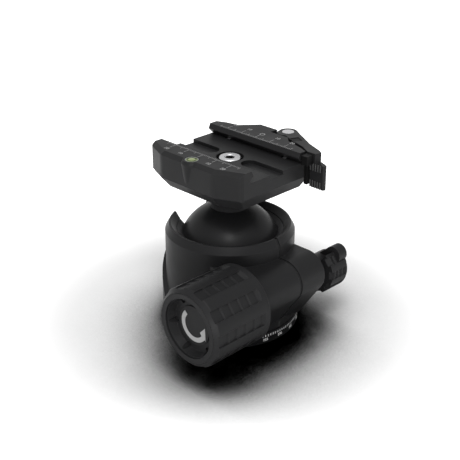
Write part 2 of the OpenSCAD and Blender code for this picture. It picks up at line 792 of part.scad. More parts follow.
module button_place() {
  translate([button_x, -button_y, 0]) rotate([0, 0, button_turn])
    translate([-button_w / 2, -button_l / 2, 0]) children();
}

module lever() color("#313133") difference() {
  union() {
    translate([pin_x, -pin_y, lever_z]) cylinder(h = top_z - lever_z, r = hub_turn_r);
    translate([pin_x - cam_off, -pin_y, lever_z]) cylinder(h = top_z - lever_z, r = cam_r);
    translate([0, 0, lever_z]) linear_extrude(top_z - lever_z) arm_plan();
    translate([0, 0, tab_low]) linear_extrude(tab_top - tab_low) polygon(shares(tab_shares));
    translate([0, 0, tab_top - over]) linear_extrude(lever_z - tab_top + 2 * over)
      polygon(shares(neck_shares));
  }
  translate([pin_x, -pin_y, 0]) cylinder(h = far_w, r = pin_r + run);
  translate([pin_x, -pin_y, top_z - cap_h - run]) cylinder(h = far_w, r = pin_head / 2 + run);
  for (i = [0 : rib_n - 1]) for (z = [tab_low - over, tab_top - rib_band])
    translate([tab_shares[0][0] * half_w - over, tab_shares[0][1] * half_l - over - i * rib_pitch, z])
      cube([rib_h + over, rib_w, rib_band + over]);
  button_place() translate([0, 0, lever_z + over]) cube([button_w, button_l, far_w]);
}

module latch_button() color("#141415") button_place() translate([0, 0, lever_z + over])
  cube([button_w, button_l, top_z - button_in - lever_z - over]);

module latch_catch() color("#161617") translate([catch_x, -catch_y, lever_z]) {
  cube([catch_w, catch_l, top_z - catch_in - lever_z]);
  translate([catch_w - catch_leg, catch_l - catch_leg_l, tab_low + catch_foot - lever_z])
    cube([catch_leg, catch_leg_l, lever_z - tab_low - catch_foot + over]);
}

pan_base();
base_bush();
base_pad();
scale_ring();
pan_washer();
pan_glide();
pan_retainer();
housing();
liner_near();
liner_far();
disc_spring();
thrust_washer();
brake_pin();
lock_bush();
lower_cup();
ball();
stem();
turn_washer();
main_knob();
knob_ring();
knob_cup();
arrow_disc();
knob_screw();
clamp_spindle();
draw_nut();
lock_knob();
lock_spindle();
lock_cap();
clamp_body();
centre_screw();
level_cup();
level_vial();
lever_pin();
jaw_spring_a();
jaw_spring_b();
moving_jaw();
jaw_screw_a();
jaw_screw_b();
lever();
latch_button();
latch_catch();
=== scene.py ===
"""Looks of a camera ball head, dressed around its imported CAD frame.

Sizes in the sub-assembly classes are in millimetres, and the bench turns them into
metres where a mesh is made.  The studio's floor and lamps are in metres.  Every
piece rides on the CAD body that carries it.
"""

from __future__ import annotations

import json
import logging
import math
from dataclasses import dataclass
from enum import Enum
from typing import Iterable, Mapping, Sequence, Union

import bpy
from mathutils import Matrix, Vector

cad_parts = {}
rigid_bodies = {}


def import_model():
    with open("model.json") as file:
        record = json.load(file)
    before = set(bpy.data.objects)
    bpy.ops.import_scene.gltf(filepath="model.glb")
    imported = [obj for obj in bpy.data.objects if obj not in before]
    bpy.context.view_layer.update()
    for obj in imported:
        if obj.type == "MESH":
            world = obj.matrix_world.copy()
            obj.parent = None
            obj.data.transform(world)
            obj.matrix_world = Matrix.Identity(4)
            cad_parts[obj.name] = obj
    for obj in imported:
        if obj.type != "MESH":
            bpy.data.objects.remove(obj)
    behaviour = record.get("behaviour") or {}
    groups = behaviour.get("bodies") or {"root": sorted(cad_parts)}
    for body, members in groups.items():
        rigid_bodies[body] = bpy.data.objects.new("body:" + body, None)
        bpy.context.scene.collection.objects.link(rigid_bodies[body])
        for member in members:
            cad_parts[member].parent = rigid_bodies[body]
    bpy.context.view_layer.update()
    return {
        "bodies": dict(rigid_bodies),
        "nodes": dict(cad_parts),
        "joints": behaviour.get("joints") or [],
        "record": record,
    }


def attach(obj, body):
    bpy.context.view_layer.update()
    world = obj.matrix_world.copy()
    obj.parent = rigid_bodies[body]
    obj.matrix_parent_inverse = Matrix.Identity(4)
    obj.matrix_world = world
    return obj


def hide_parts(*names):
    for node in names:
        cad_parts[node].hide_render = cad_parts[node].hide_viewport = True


LOG = logging.getLogger("ball_head")
MM = 0.001
# Corners closer than this, in metres, become one.
MERGE = 1e-7
# Radius at which a turned piece starts, so close to its axis that the end closes.
CORE_R = 0.02
WHITE = (1, 1, 1, 1)

Point = tuple[float, float]
Place = tuple[float, float, float]
Socket = bpy.types.NodeSocket
Value = Union[float, Sequence[float], bpy.types.NodeSocket]


class Axis(Enum):
    """The way a turned or drawn piece points once it is in place."""

    UP = (0.0, 0.0, 0.0)
    KNOB = (0.0, math.pi / 2, 0.0)


class Bench:
    """The modelling bench: Blender's own tools, with sizes in millimetres.

    Attributes:
        BEVEL_STEPS: facets across a bevelled edge.
        LETTER_STEPS: facets along a curve of a number.
    """

    BEVEL_STEPS = 2
    LETTER_STEPS = 3

    @staticmethod
    def clear() -> None:
        """Leave edit mode and select nothing."""
        if bpy.context.object and bpy.context.object.mode != "OBJECT":
            bpy.ops.object.mode_set(mode="OBJECT")
        bpy.ops.object.select_all(action="DESELECT")

    @staticmethod
    def pick(piece: bpy.types.Object) -> None:
        """Select one object alone and make it active.

        Args:
            piece: the object.
        """
        Bench.clear()
        piece.select_set(True)
        bpy.context.view_layer.objects.active = piece

    @staticmethod
    def edit(piece: bpy.types.Object, kind: str = "VERT") -> None:
        """Enter edit mode on a piece with all of it selected.

        Args:
            piece: the piece.
            kind: what is selected: VERT, EDGE or FACE.
        """
        Bench.pick(piece)
        bpy.ops.object.mode_set(mode="EDIT")
        bpy.ops.mesh.select_mode(type=kind)
        bpy.ops.mesh.select_all(action="SELECT")

    @staticmethod
    def done(piece: bpy.types.Object, name: str = "") -> bpy.types.Object:
        """Leave edit mode, put the place into the mesh and name the piece.

        Args:
            piece: the object to finish.
            name: its new name, or empty to keep the one it has.

        Returns:
            The same object, at the origin, unturned and unscaled.
        """
        Bench.pick(piece)
        bpy.ops.object.transform_apply(location=True, rotation=True, scale=True)
        if name:
            piece.name = name
            piece.data.name = name
        return piece

    @staticmethod
    def turned(
        name: str, profile: Sequence[Point], steps: int = 96, closed: bool = True
    ) -> bpy.types.Object:
        """Turn a profile round Z, ring by ring, as on a lathe.

        Args:
            name: the piece's name.
            profile: (radius, height) points, the first of them off the axis; a later
                radius of 0 ends on the axis.
            steps: facets round the axis.
            closed: join the last ring to the first, as in a ring or a tube; otherwise
                the first ring is capped.

        Returns:
            The turned piece, still about the Z axis.
        """
        Bench.clear()
        radius, height = profile[0]
        bpy.ops.mesh.primitive_circle_add(
            vertices=steps, radius=radius * MM, location=(0, 0, height * MM)
        )
        piece = bpy.context.object
        Bench.done(piece, name)
        Bench.edit(piece)
        rings = list(profile[1:]) + ([profile[0]] if closed else [])
        for next_radius, next_height in rings:
            bpy.ops.mesh.extrude_edges_move(
                TRANSFORM_OT_translate={"value": (0, 0, (next_height - height) * MM)}
            )
            if next_radius == 0:
                bpy.ops.mesh.merge(type="CENTER")
            elif next_radius != radius:
                ratio = next_radius / radius
                bpy.ops.transform.resize(
                    value=(ratio, ratio, 1), center_override=(0, 0, next_height * MM)
                )
            radius, height = next_radius, next_height
        bpy.ops.mesh.select_all(action="SELECT")
        bpy.ops.mesh.remove_doubles(threshold=MERGE)
        if not closed:
            bpy.ops.mesh.select_all(action="DESELECT")
            bpy.ops.mesh.select_non_manifold(
                extend=False, use_wire=False, use_multi_face=False,
                use_non_contiguous=False, use_verts=False,
            )
            bpy.ops.mesh.edge_face_add()
        Bench.outwards()
        return Bench.done(piece)

    @staticmethod
    def ring(
        name: str, inner: float, outer: float, low: float, high: float, steps: int
    ) -> bpy.types.Object:
        """Turn a plain ring.

        Args:
            name: the piece's name.
            inner: its inner radius.
            outer: its outer radius.
            low: height of the underside.
            high: height of the top.
            steps: facets round the axis.

        Returns:
            The ring, about the Z axis.
        """
        profile = [(inner, low), (inner, high), (outer, high), (outer, low)]
        return Bench.turned(name, profile, steps)

    @staticmethod
    def hexagon(name: str, radius: float, low: float, high: float) -> bpy.types.Object:
        """Add a hexagonal bar round Z.

        Args:
            name: the piece's name.
            radius: distance from the axis to a corner.
            low: height of the underside.
            high: height of the top.

        Returns:
            The bar.
        """
        Bench.clear()
        bpy.ops.mesh.primitive_cylinder_add(
            vertices=6, radius=radius * MM, depth=(high - low) * MM,
            location=(0, 0, (high + low) / 2 * MM),
        )
        return Bench.done(bpy.context.object, name)

    @staticmethod
    def outwards() -> None:
        """Point every face of the piece in edit mode outwards."""
        bpy.ops.mesh.select_all(action="SELECT")
        bpy.ops.mesh.normals_make_consistent(inside=False)

    @staticmethod
    def drawn(
        name: str, outline: Sequence[Point], low: float, high: float
    ) -> bpy.types.Object:
        """Draw an outline point by point and pull it up into a solid.

        Args:
            name: the piece's name.
            outline: (x, y) corners in order.
            low: height of the underside.
            high: height of the top.

        Returns:
            The solid, with its outline in the XY plane.
        """
        Bench.clear()
        x, y = outline[0]
        bpy.ops.mesh.primitive_plane_add(size=MM, location=(x * MM, y * MM, low * MM))
        piece = bpy.context.object
        Bench.done(piece, name)
        Bench.edit(piece)
        bpy.ops.mesh.merge(type="CENTER")
        for next_x, next_y in outline[1:]:
            step = ((next_x - x) * MM, (next_y - y) * MM, 0)
            bpy.ops.mesh.extrude_vertices_move(TRANSFORM_OT_translate={"value": step})
            x, y = next_x, next_y
        bpy.ops.mesh.select_all(action="SELECT")
        bpy.ops.mesh.edge_face_add()
        bpy.ops.mesh.select_all(action="SELECT")
        bpy.ops.mesh.extrude_region_move(
            TRANSFORM_OT_translate={"value": (0, 0, (high - low) * MM)}
        )
        Bench.outwards()
        return Bench.done(piece)

    @staticmethod
    def block(name: str, low: Place, high: Place) -> bpy.types.Object:
        """Add a block between two corners.

        Args:
            name: the piece's name.
            low: its lowest corner.
            high: its highest corner.

        Returns:
            The block.
        """
        Bench.clear()
        middle = [(a + b) / 2 * MM for a, b in zip(low, high)]
        bpy.ops.mesh.primitive_cube_add(size=1, location=middle)
        piece = bpy.context.object
        piece.scale = [(b - a) * MM for a, b in zip(low, high)]
        return Bench.done(piece, name)

    @staticmethod
    def place(
        piece: bpy.types.Object, at: Place, axis: Axis = Axis.UP, spin: float = 0.0
    ) -> None:
        """Turn a piece about its own axis, point it along its axis and move it.

        Args:
            piece: the piece, made about the origin.
            at: where its origin goes.
            axis: the way it points.
            spin: turn about its own axis first, in degrees.
        """
        if spin:
            piece.rotation_euler = (0, 0, math.radians(spin))
            Bench.done(piece)
        piece.rotation_euler = axis.value
        piece.location = [v * MM for v in at]
        Bench.done(piece)

    @staticmethod
    def repeat(piece: bpy.types.Object, count: int) -> None:
        """Copy a piece's mesh round Z, as a full and evenly spaced ring.

        Args:
            piece: the piece to repeat.
            count: how many there are in the ring.
        """
        Bench.edit(piece)
        bpy.ops.mesh.spin(
            steps=count, dupli=True, angle=math.tau, use_auto_merge=False,
            center=(0, 0, 0), axis=(0, 0, 1),
        )
        bpy.ops.mesh.delete(type="VERT")
        Bench.done(piece)

    @staticmethod
    def cut(piece: bpy.types.Object, cutter: bpy.types.Object) -> None:
        """Take the cutter's volume off the piece and throw the cutter away.

        Args:
            piece: the piece to cut.
            cutter: a closed mesh.
        """
        Bench.pick(piece)
        cutting = piece.modifiers.new("cut", "BOOLEAN")
        cutting.operation = "DIFFERENCE"
        cutting.solver = "EXACT"
        cutting.object = cutter
        bpy.ops.object.modifier_apply(modifier=cutting.name)
        bpy.data.objects.remove(cutter)

    @staticmethod
    def soften(piece: bpy.types.Object, width: float = 0.0, angle: float = 30) -> None:
        """Bevel the sharp edges and shade the rest smooth.

        Args:
            piece: the piece to soften.
            width: the bevel's width, or 0 for shading alone.
            angle: edges sharper than this are bevelled and stay sharp, in degrees.
        """
        Bench.pick(piece)
        if width:
            bevel = piece.modifiers.new("edge", "BEVEL")
            bevel.width = width * MM
            bevel.segments = Bench.BEVEL_STEPS
            bevel.limit_method = "ANGLE"
            bevel.angle_limit = math.radians(angle)
            bevel.use_clamp_overlap = True
            bpy.ops.object.modifier_apply(modifier=bevel.name)
        bpy.ops.object.shade_smooth_by_angle(angle=math.radians(angle))

    @staticmethod
    def joined(name: str, parts: Sequence[bpy.types.Object]) -> bpy.types.Object:
        """Join several meshes into one piece.

        Args:
            name: the joined piece's name.
            parts: the meshes, the first of which is kept.

        Returns:
            The joined piece.
        """
        Bench.clear()
        for part in parts:
            part.select_set(True)
        bpy.context.view_layer.objects.active = parts[0]
        if len(parts) > 1:
            bpy.ops.object.join()
        return Bench.done(parts[0], name)

    @staticmethod
    def lettering(text: str, size: float, height: float) -> bpy.types.Object:
        """Set a short number as a thin solid, centred on the origin.

        Args:
            text: the number.
            size: the type size.
            height: its thickness, half of which is above the XY plane.

        Returns:
            A mesh lying in the XY plane.
        """
        Bench.clear()
        bpy.ops.object.text_add()
        letters = bpy.context.object
        letters.data.body = text
        letters.data.size = size * MM
        letters.data.extrude = height / 2 * MM
        letters.data.align_x = "CENTER"
        letters.data.align_y = "CENTER"
        letters.data.resolution_u = Bench.LETTER_STEPS
        bpy.ops.object.convert(target="MESH")
        return Bench.done(bpy.context.object)


class Wiring:
    """One shader node tree, with short ways to add to it."""

    def __init__(self, tree: bpy.types.NodeTree) -> None:
        """Take up a node tree."""
        self.nodes, self.links = tree.nodes, tree.links

    def feed(self, node: bpy.types.Node, inputs: Mapping[str, Value]) -> None:
        """Feed a node's inputs.

        Args:
            node: the node.
            inputs: by name, another node's output to link or a plain value to set.
        """
        for name, value in inputs.items():
            self.join(node.inputs[name], value)

    def join(self, socket: Socket, value: Value) -> None:
        """Link one input to another node's output, or set it to a plain value.

        Args:
            socket: the input.
            value: the output or the plain value.
        """
        if isinstance(value, bpy.types.NodeSocket):
            self.links.new(value, socket)
        else:
            socket.default_value = value

    def add(self, kind: str, **inputs: Value) -> bpy.types.Node:
        """Add a node.

        Args:
            kind: the node's type, without its first word, which all of them share.
            inputs: what each input gets.

        Returns:
            The new node.
        """
        node = self.nodes.new("ShaderNode" + kind)
        self.feed(node, inputs)
        return node

    def group(self, tree: bpy.types.NodeTree, **inputs: Value) -> bpy.types.Node:
        """Add a shared group and feed its inputs.

        Args:
            tree: the group's tree.
            inputs: what each input gets.

        Returns:
            The group's node.
        """
        node = self.nodes.new("ShaderNodeGroup")
        node.node_tree = tree
        self.feed(node, inputs)
        return node

    def number(self, operation: str, *values: Value, kind: str = "Math") -> Socket:
        """Add a node that works out a number.

        Args:
            operation: what it works out.
            values: its inputs, in order.
            kind: Math, or VectorMath where it works from vectors.

        Returns:
            The number.
        """
        node = self.add(kind)
        node.operation = operation
        for socket, value in zip(node.inputs, values):
            self.join(socket, value)
        return node.outputs["Value"]

    def scaled(
        self, value: Socket, given: Point = (0, 1), wanted: Point = (0, 1), smooth: bool = False
    ) -> Socket:
        """Bring a number from one range to another.

        Args:
            value: the number.
            given: the range it comes in.
            wanted: the range it leaves in.
            smooth: ease in and out at the ends of the range.

        Returns:
            The number in its new range.
        """
        node = self.add("MapRange")
        if smooth:
            node.interpolation_type = "SMOOTHSTEP"
        low, high = given
        first, last = wanted
        self.feed(node, {"Value": value, "From Min": low, "From Max": high})
        self.feed(node, {"To Min": first, "To Max": last})
        return node.outputs["Result"]


class Groups:
    """Shader node groups that several finishes share, each built once.

    Attributes:
        GRAIN_DETAIL: octaves in the blasted grain.
        CLOUD_SCALE: soft clouds of wear per metre.
        CLOUD_DETAIL: octaves in the clouds.
        EDGE_SAMPLES: rays that find the sharp edges.
        EDGE_TURN: how far the softened normal leaves the true one, as the cosine of
            the angle, from no edge to a full edge.
    """

    GRAIN_DETAIL = 2.0
    CLOUD_SCALE = 90.0
    CLOUD_DETAIL = 3.0
    EDGE_SAMPLES = 6
    EDGE_TURN = (0.999, 0.9)

    @staticmethod
    def start(
        name: str, inputs: Iterable[tuple[str, str, float]], outputs: Iterable[tuple[str, str]]
    ) -> bpy.types.NodeTree:
        """Start a group with named sockets.

        Args:
            name: the group's name.
            inputs: (name, kind, default) of each input.
            outputs: (name, kind) of each output.

        Returns:
            The new node tree, with its input and output nodes in place.
        """
        tree = bpy.data.node_groups.new(name, "ShaderNodeTree")
        for label, kind, value in inputs:
            socket = tree.interface.new_socket(
                label, in_out="INPUT", socket_type="NodeSocket" + kind
            )
            if kind == "Float":
                socket.default_value = value
        for label, kind in outputs:
            tree.interface.new_socket(
                label, in_out="OUTPUT", socket_type="NodeSocket" + kind
            )
        tree.nodes.new("NodeGroupInput").name = "in"
        tree.nodes.new("NodeGroupOutput").name = "out"
        return tree

    @staticmethod
    def blast() -> bpy.types.NodeTree:
        """Fine bead-blasted grain: a value for colour and roughness, and a height.

        Returns:
            The node group, with inputs Vector, Scale and Contrast.
        """
        if "bead_blast" in bpy.data.node_groups:
            return bpy.data.node_groups["bead_blast"]
        tree = Groups.start(
            "bead_blast",
            [("Vector", "Vector", 0.0), ("Scale", "Float", 9000.0), ("Contrast", "Float", 0.2)],
            [("Value", "Float"), ("Height", "Float"), ("Clouds", "Float")],
        )
        wires, given = Wiring(tree), tree.nodes["in"].outputs
        where = given["Vector"]
        grain = wires.add(
            "TexNoise", Vector=where, Scale=given["Scale"], Detail=Groups.GRAIN_DETAIL
        )
        clouds = wires.add(
            "TexNoise", Vector=where, Scale=Groups.CLOUD_SCALE, Detail=Groups.CLOUD_DETAIL
        )
        centred = wires.number("SUBTRACT", grain.outputs["Fac"], 0.5)
        spread = wires.number("MULTIPLY_ADD", centred, given["Contrast"], 1.0)
        wires.feed(tree.nodes["out"], {
            "Value": spread, "Height": grain.outputs["Fac"], "Clouds": clouds.outputs["Fac"],
        })
        return tree

    @staticmethod
    def edges() -> bpy.types.NodeTree:
        """Rounded edges: a softened normal and a mask that is 1 along sharp edges.

        Returns:
            The node group, with the input Radius.
        """
        if "soft_edges" in bpy.data.node_groups:
            return bpy.data.node_groups["soft_edges"]
        tree = Groups.start(
            "soft_edges",
            [("Radius", "Float", 0.0003)],
            [("Normal", "Vector"), ("Mask", "Float")],
        )
        wires = Wiring(tree)
        bevel = wires.add("Bevel", Radius=tree.nodes["in"].outputs["Radius"])
        bevel.samples = Groups.EDGE_SAMPLES
        facing = wires.add("NewGeometry")
        normals = bevel.outputs["Normal"], facing.outputs["Normal"]
        along = wires.number("DOT_PRODUCT", *normals, kind="VectorMath")
        mask = wires.scaled(along, given=Groups.EDGE_TURN)
        wires.feed(tree.nodes["out"], {"Normal": bevel.outputs["Normal"], "Mask": mask})
        return tree


# How far the clouds move the roughness up and down, as a share of it.
HAZE = 0.1
# The part of the clouds' range that does so.
CLOUD_SPAN = (0.3, 0.7)
# Strength of the grain's relief.
BUMP = 0.6


@dataclass(frozen=True)
class Finish:
    """A surface finish and how to mix it.

    Attributes:
        name: the material's name.
        slot: the record's material slot it stands for; not used.
        colour: base colour, linear.
        rough: roughness.
        metal: metallic share.
        gloss: specular level.
        grain: grains per metre.
        contrast: how much the grain varies the colour.
        relief: height of the grain, in millimetres.
        edge: width of the softened edges, in millimetres.
        worn: how much paler the edges are, as wear and as a painted highlight along them.
    """

    name: str
    slot: str
    colour: tuple[float, float, float]
    rough: float = 0.45
    metal: float = 0.0
    gloss: float = 0.1
    grain: float = 6000.0
    contrast: float = 0.5
    relief: float = 0.004
    edge: float = 0.25
    worn: float = 1.6

    def material(self) -> bpy.types.Material:
        """Mix the finish once and give the same material each time.

        Returns:
            The node material.
        """
        if self.name in bpy.data.materials:
            return bpy.data.materials[self.name]
        made = bpy.data.materials.new(self.name)
        made.use_nodes = True
        wires = Wiring(made.node_tree)
        where = wires.add("TexCoord").outputs["Object"]
        blast = wires.group(
            Groups.blast(), Vector=where, Scale=self.grain, Contrast=self.contrast
        ).outputs
        edges = wires.group(Groups.edges(), Radius=self.edge * MM).outputs
        tint = wires.add("VectorMath", Vector=self.colour)
        tint.operation = "SCALE"
        wires.feed(tint, {"Scale": blast["Value"]})
        # Edges are painted paler: partly wear, partly a painted highlight along them.
        pale = [min(c * self.worn, 1.0) for c in self.colour]
        worn_and_lit_edges = wires.add("Mix")
        worn_and_lit_edges.data_type = "RGBA"
        wires.feed(worn_and_lit_edges, {
            "Factor": edges["Mask"], "A": tint.outputs["Vector"], "B": (*pale, 1),
        })
        haze = (self.rough * (1 - HAZE), self.rough * (1 + HAZE))
        bump = wires.add(
            "Bump", Strength=BUMP, Distance=self.relief * MM, Height=blast["Height"],
            Normal=edges["Normal"],
        )
        wires.feed(wires.nodes["Principled BSDF"], {
            "Metallic": self.metal,
            "Specular IOR Level": self.gloss,
            "Base Color": worn_and_lit_edges.outputs["Result"],
            "Roughness": wires.scaled(blast["Clouds"], CLOUD_SPAN, haze),
            "Normal": bump.outputs["Normal"],
        })
        return made

    def on(self, piece: bpy.types.Object) -> None:
        """Give a piece this finish all over."""
        piece.data.materials.clear()
        piece.data.materials.append(self.material())


def printed(name: str, slot: str, grey: float) -> Finish:
    """Mix a printed mark: one even grey, with no paler edges.

    Args:
        name: the material's name.
        slot: the record's material slot it stands for.
        grey: how pale it is, linear.

    Returns:
        The finish.
    """
    return Finish(name, slot, (grey, grey, grey), rough=0.7, edge=0.02, worn=1.0)


COLLAR = Finish("satin_collar", "collar_black", (0.0115, 0.0115, 0.012), rough=0.42)
BALL = Finish("satin_ball", "ball_black", (0.012, 0.012, 0.0125), rough=0.36, edge=0.1)
STEM = Finish("satin_stem", "stem_black", (0.015, 0.015, 0.0155), rough=0.4)
BASE = Finish("satin_base", "base_black", (0.006, 0.006, 0.0065), rough=0.5)
RING = Finish("satin_scale_ring", "ring_black", (0.006, 0.006, 0.0065), rough=0.45)
KNOB = Finish("satin_knob", "knob_black", (0.0125, 0.0125, 0.013), rough=0.45)
RECESS = Finish("satin_recess", "recess_black", (0.014, 0.014, 0.0145), rough=0.4)
DISC = Finish("satin_disc", "arrow_black", (0.014, 0.014, 0.0145), rough=0.5)
LOCK = Finish("satin_lock", "lock_black", (0.0115, 0.0115, 0.012), rough=0.45)
CLAMP = Finish("satin_clamp", "clamp_black", (0.013, 0.013, 0.0135), rough=0.45)
JAW = Finish("satin_jaw", "jaw_black", (0.013, 0.013, 0.0135), rough=0.45)
LEVER = Finish("satin_lever", "lever_black", (0.012, 0.012, 0.0125), rough=0.42)
BUTTON = Finish("moulded_button", "button_black", (0.008, 0.008, 0.008), rough=0.55, grain=3000)
CUP = Finish("moulded_cup", "cup_black", (0.006, 0.006, 0.006), rough=0.5, grain=3000)
LINER = Finish("grey_liner", "liner_grey", (0.02, 0.02, 0.021), rough=0.5, grain=3000)
STRIP = Finish("moulded_strip", "collar_black", (0.0115, 0.0115, 0.012), rough=0.5, grain=3000)
PAD = Finish("ribbed_rubber", "pad_rubber", (0.01, 0.01, 0.01), rough=0.85, gloss=0.2, relief=0.02)
# Rib crests painted paler than the lever: a painted highlight.
RIB = Finish("rib_painted_highlight", "lever_black", (0.05, 0.05, 0.05), rough=0.4)
RIM = Finish("level_rim", "cup_black", (0.2, 0.21, 0.2), rough=0.35)
# Near-black latch catch: painted shade for the shadowed gap at the jaw's end.
CATCH = Finish(
    "shaded_catch", "button_black", (0.002, 0.002, 0.002), rough=0.6, gloss=0.12, grain=3000
)
# Near-black lining for the hexagon socket: painted shade, not a finish of the steel.
SOCKET_SHADE = Finish("socket_painted_shade", "nut_steel", (0.01, 0.01, 0.01), rough=0.6)
STEEL = Finish(
    "turned_steel", "steel", (0.62, 0.62, 0.63), rough=0.28, metal=1.0, contrast=0.1, worn=1.1
)
PIN = Finish(
    "bright_pin", "pin_steel", (0.48, 0.48, 0.49), rough=0.25, metal=1.0, contrast=0.05, worn=1.1
)
NUT = Finish(
    "dark_steel", "nut_steel", (0.22, 0.22, 0.23), rough=0.35, metal=1.0, contrast=0.15, worn=1.2
)
BRONZE = Finish(
    "bronze", "bronze", (0.42, 0.27, 0.10), rough=0.35, metal=1.0, contrast=0.2, worn=1.2
)
VIAL = Finish(
    "vial_fluid", "vial_yellow", (0.13, 0.18, 0.03), rough=0.12, gloss=0.5, relief=0.0, worn=1.0
)
BUBBLE = Finish(
    "vial_bubble", "vial_yellow", (0.2, 0.26, 0.07), rough=0.1, gloss=0.5, relief=0.0, worn=1.0
)
MARK = printed("laser_mark", "ring_black", 0.9)
NUMBER = printed("jaw_number", "jaw_black", 0.42)
TICK = printed("jaw_tick", "jaw_black", 0.36)
INDEX = printed("index_mark", "collar_black", 0.07)
ARROW = Finish("arrow_mark", "arrow_black", (0.33, 0.33, 0.33), rough=0.6, edge=0.05, worn=1.0)


@dataclass
class SubAssembly:
    """A group of pieces that ride on one CAD body.

    Attributes:
        body: the CAD body that carries the pieces.
    """

    frame: dict
    body: str = ""

    def dress(self, finish: Finish, *nodes: str) -> None:
        """Give CAD nodes their finish.

        Args:
            finish: the finish.
            nodes: their names.
        """
        for node in nodes:
            finish.on(self.frame["nodes"][node])
            LOG.info("dressed %s with %s", node, finish.name)

    def fit(
        self, piece: bpy.types.Object, finish: Finish, *nodes: str, body: str = ""
    ) -> bpy.types.Object:
        """Finish a new piece and hang it on its body.

        Args:
            piece: the piece, in place.
            finish: its finish.
            nodes: CAD nodes it stands for.
            body: another body than the sub-assembly's own.

        Returns:
            The same piece.
        """
        finish.on(piece)
        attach(piece, body or self.body)
        if nodes:
            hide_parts(*nodes)
        LOG.info("fitted %s on %s", piece.name, body or self.body)
        return piece


@dataclass
class PanBase(SubAssembly):
    """The turning base: plate, rubber pad, bush and scale ring."""

    body: str = "base"
    ring_r: float = 36.85
    ring_in: float = 34.45
    ring_low: float = 1.4
    ring_top: float = 6.4
    low_chamfer: float = 0.4
    top_chamfer: float = 0.5
    tick_low: float = 4.5
    tick_high: float = 5.75
    tick_w: float = 0.3
    ring_steps: int = 192
    mark_root: float = 0.1
    mark_h: float = 0.03
    number_z: float = 2.95
    number_size: float = 2.0
    ticks: int = 144
    numbers: int = 24
    bore_r: float = 3.97
    bush_r: float = 7.0
    lip_r: float = 9.0
    lip_h: float = 1.6
    lip_chamfer: float = 0.3
    bush_h: float = 9.3
    bush_steps: int = 64
    pitch: float = 1.5875
    crest_r: float = 4.75
    crest_half: float = 0.1
    groove_share: float = 0.46
    tap_root: float = 0.6
    tap_play: float = 0.05
    tap_steps: int = 32
    tap_facing: float = -0.5

    def scale_ring(self) -> None:
        """Turn the scale ring with fine chamfers."""
        r, low, top = self.ring_r, self.ring_low, self.ring_top
        ring = Bench.turned(
            "panning_scale_ring",
            [(self.ring_in, low), (r - self.low_chamfer, low), (r, low + self.low_chamfer),
             (r, top - self.top_chamfer), (r - self.top_chamfer, top), (self.ring_in, top)],
            steps=self.ring_steps,
        )
        Bench.soften(ring)
        self.fit(ring, RING, "scale_ring")

    def scale(self) -> None:
        """Mark the scale's ticks and its degree numbers."""
        ticks = Bench.block(
            "panning_ticks",
            (self.ring_r - self.mark_root, -self.tick_w / 2, self.tick_low),
            (self.ring_r + self.mark_h, self.tick_w / 2, self.tick_high),
        )
        Bench.repeat(ticks, self.ticks)
        self.fit(ticks, MARK)
        marks = []
        for index in range(self.numbers):
            degrees = str(index * 360 // self.numbers)
            number = Bench.lettering(degrees, self.number_size, 2 * self.mark_h)
            number.rotation_euler = (math.pi / 2, 0, math.pi / 2)
            number.location = (self.ring_r * MM, 0, self.number_z * MM)
            Bench.done(number)
            number.rotation_euler = (0, 0, math.radians(index * 360 / self.numbers))
            marks.append(Bench.done(number))
        self.fit(Bench.joined("panning_numbers", marks), MARK)

    def bush(self) -> None:
        """Turn the steel bush and cut its thread."""
        bush = Bench.turned(
            "tapped_bush",
            [(self.bore_r, 0), (self.lip_r - self.lip_chamfer, 0), (self.lip_r, self.lip_chamfer),
             (self.lip_r, self.lip_h), (self.bush_r, self.lip_h), (self.bush_r, self.bush_h),
             (self.bore_r, self.bush_h)],
            steps=self.bush_steps,
        )
        Bench.cut(bush, self.tap())
        Bench.soften(bush)
        self.fit(bush, STEEL, "base_bush")

    def tap(self) -> bpy.types.Object:
        """Wind the tap that cuts the bush's thread.

        Returns:
            A closed thread round Z, a pitch longer than the bush at each end.
        """
        low, high = -self.pitch, self.bush_h + self.pitch
        core, crest, top = self.bore_r - self.tap_play, self.crest_r, self.crest_half
        turns = math.ceil((high - low) / self.pitch)
        half = self.pitch * self.groove_share
        root = core - self.tap_root
        section = [(root, -half), (core, -half), (crest, -top)]
        section += [(r, -z) for r, z in reversed(section)]
        tooth = Bench.drawn("tap", section, 0, 1)
        # Only the face that looks down stays, and the Screw modifier sweeps it.
        Bench.edit(tooth, "FACE")
        bpy.ops.mesh.select_all(action="DESELECT")
        bpy.ops.object.mode_set(mode="OBJECT")
        for face in tooth.data.polygons:
            face.select = face.normal.z > self.tap_facing
        bpy.ops.object.mode_set(mode="EDIT")
        bpy.ops.mesh.delete(type="FACE")
        tooth.rotation_euler = (math.pi / 2, 0, 0)
        Bench.clear()
        Bench.done(tooth)
        winding = tooth.modifiers.new("wind", "SCREW")
        winding.axis = "Z"
        winding.angle = math.tau * turns
        winding.screw_offset = self.pitch * MM * turns
        winding.steps = self.tap_steps * turns
        winding.render_steps = self.tap_steps * turns
        Bench.pick(tooth)
        bpy.ops.object.modifier_apply(modifier=winding.name)
        Bench.edit(tooth)
        bpy.ops.mesh.remove_doubles(threshold=MERGE)
        Bench.outwards()
        tooth.location = (0, 0, low * MM)
        Bench.clear()
        return Bench.done(tooth)

    def build(self) -> None:
        """Make and dress the whole base."""
        self.dress(BASE, "pan_base")
        self.dress(PAD, "base_pad")
        self.dress(BRONZE, "pan_washer", "pan_glide")
        self.dress(NUT, "pan_retainer")
        self.scale_ring()
        self.scale()
        self.bush()


